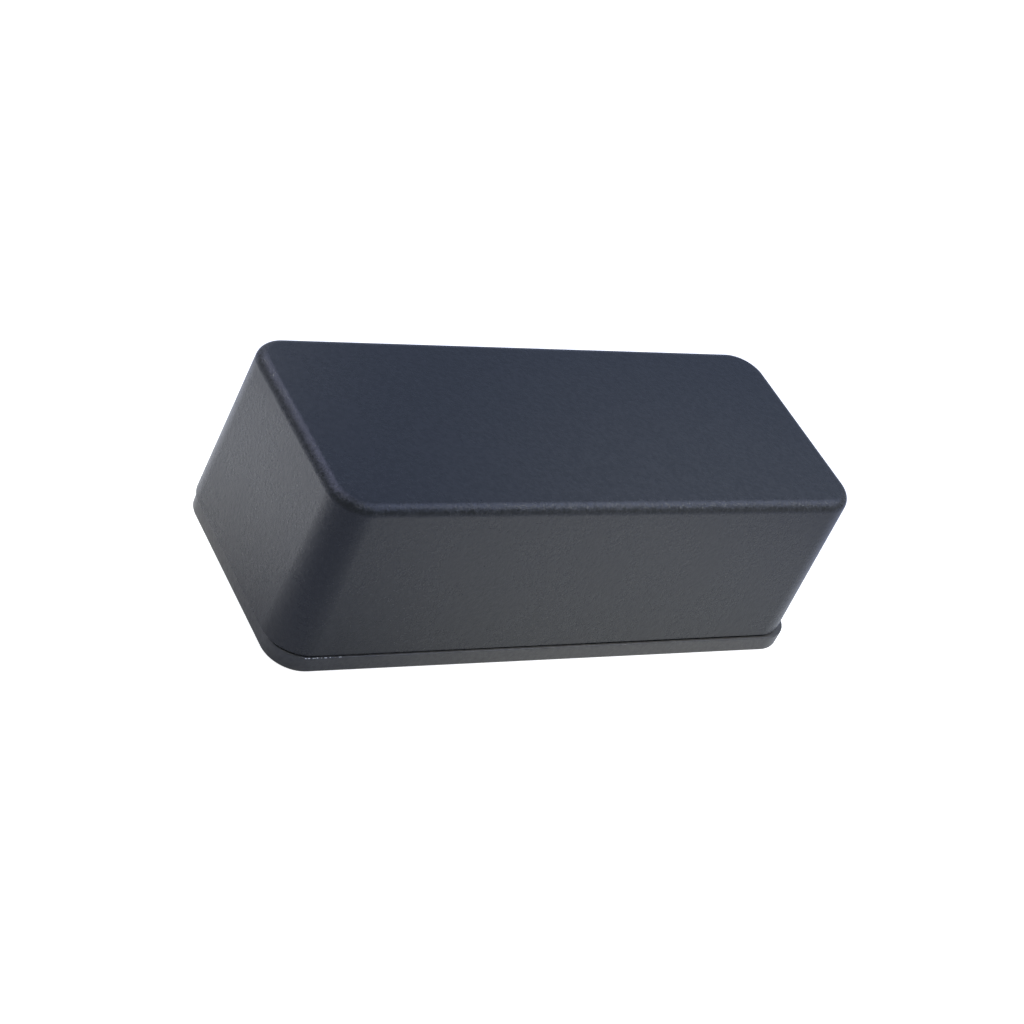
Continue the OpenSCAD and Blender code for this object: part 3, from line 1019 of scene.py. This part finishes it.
def soft_pool(name, place, aim, width, power, colour):
    """A spot that lights a soft-edged pool of the given width where it is aimed."""
    lamp = bpy.data.lights.new(name, "SPOT")
    lamp.shadow_soft_size = SPOT_R
    lamp.spot_size = 2 * math.atan(width / 2 / (Vector(aim) - Vector(place)).length)
    lamp.spot_blend = 1.0
    return hang_lamp(name, lamp, place, aim, power, colour)


# Each line: where the lamp hangs and where it is aimed, the width of its pool or disc, power and colour.
soft_pool("end_wall_pool", (-0.16, 0.06, 0.40), (-0.055, 0.0235, 0), 0.080, 9.2, (0.98, 1.0, 0.98))
soft_pool("long_wall_pool", (0.03, -0.15, 0.42), (0.017, -0.030, 0), 0.113, 5.5, (0.98, 1.0, 0.93))
soft_disc("end_round_line", (-0.125, 0.255, 0.343), (-0.034, 0, 0.022), 0.40, 0.84, (0.62, 0.65, 1.0))
soft_disc("long_round_line", (0.233, -0.094, 0.362), (0, -0.014, 0.022), 0.40, 0.88, (0.53, 0.62, 1.0))
soft_disc("sky_window", (0.44, 0.475, 0.47), (0, 0, 0.022), 1.0, 0.62, (0.22, 0.40, 1.0))
soft_disc("under_light", (0.10, -0.16, -0.42), (0, 0, 0), 0.40, 1.25, (0.90, 0.93, 1.0))

# %% [markdown]
# ## Camera
#
# The camera looks down on the front left corner from 29 cm away, through a long lens, and is rolled so that
# the box lies aslant. Its place is worked out from angles and a distance, which are easier to adjust than
# coordinates.

# %% Camera
AZIMUTH = 0.7394
ELEVATION = 0.6061
ROLL = 0.4688
DISTANCE = 290.74 * MM
SLIDE_RIGHT = -2.0685 * MM
SLIDE_UP = -1.4426 * MM
LENS_MM = 89.78
SENSOR_MM = 36

back = Vector((-math.sin(AZIMUTH) * math.cos(ELEVATION), -math.cos(AZIMUTH) * math.cos(ELEVATION),
               math.sin(ELEVATION)))
level_right = (-back).cross(Vector((0, 0, 1))).normalized()
level_up = level_right.cross(-back)
right = math.cos(ROLL) * level_right + math.sin(ROLL) * level_up
up = math.cos(ROLL) * level_up - math.sin(ROLL) * level_right
place = Vector((0, 0, HOUSING_TOP / 2)) + back * DISTANCE + right * SLIDE_RIGHT + up * SLIDE_UP
camera_data = bpy.data.cameras.new("camera")
camera_data.lens = LENS_MM
camera_data.sensor_width = SENSOR_MM
camera_data.clip_start = 10 * MM
camera = bpy.data.objects.new("camera", camera_data)
bpy.context.scene.collection.objects.link(camera)
camera.matrix_world = Matrix((right, up, back)).transposed().to_4x4()
camera.matrix_world.translation = place
bpy.context.scene.camera = camera
bpy.context.scene.view_settings.view_transform = "Standard"
print("camera at", [round(v, 4) for v in place])

# %% [markdown]
# ## Sizes
#
# Dressing a part must not change its size. The boxes round the CAD solids and round the finished pieces are
# written side by side, so that the two can be compared.

# %% Sizes of the dressed part
bpy.context.view_layer.update()


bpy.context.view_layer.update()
for label, corners in (("CAD", cad_box), ("finished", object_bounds())):
    print(label, "box in mm", [[round(v / MM, 2) for v in corner] for corner in corners])
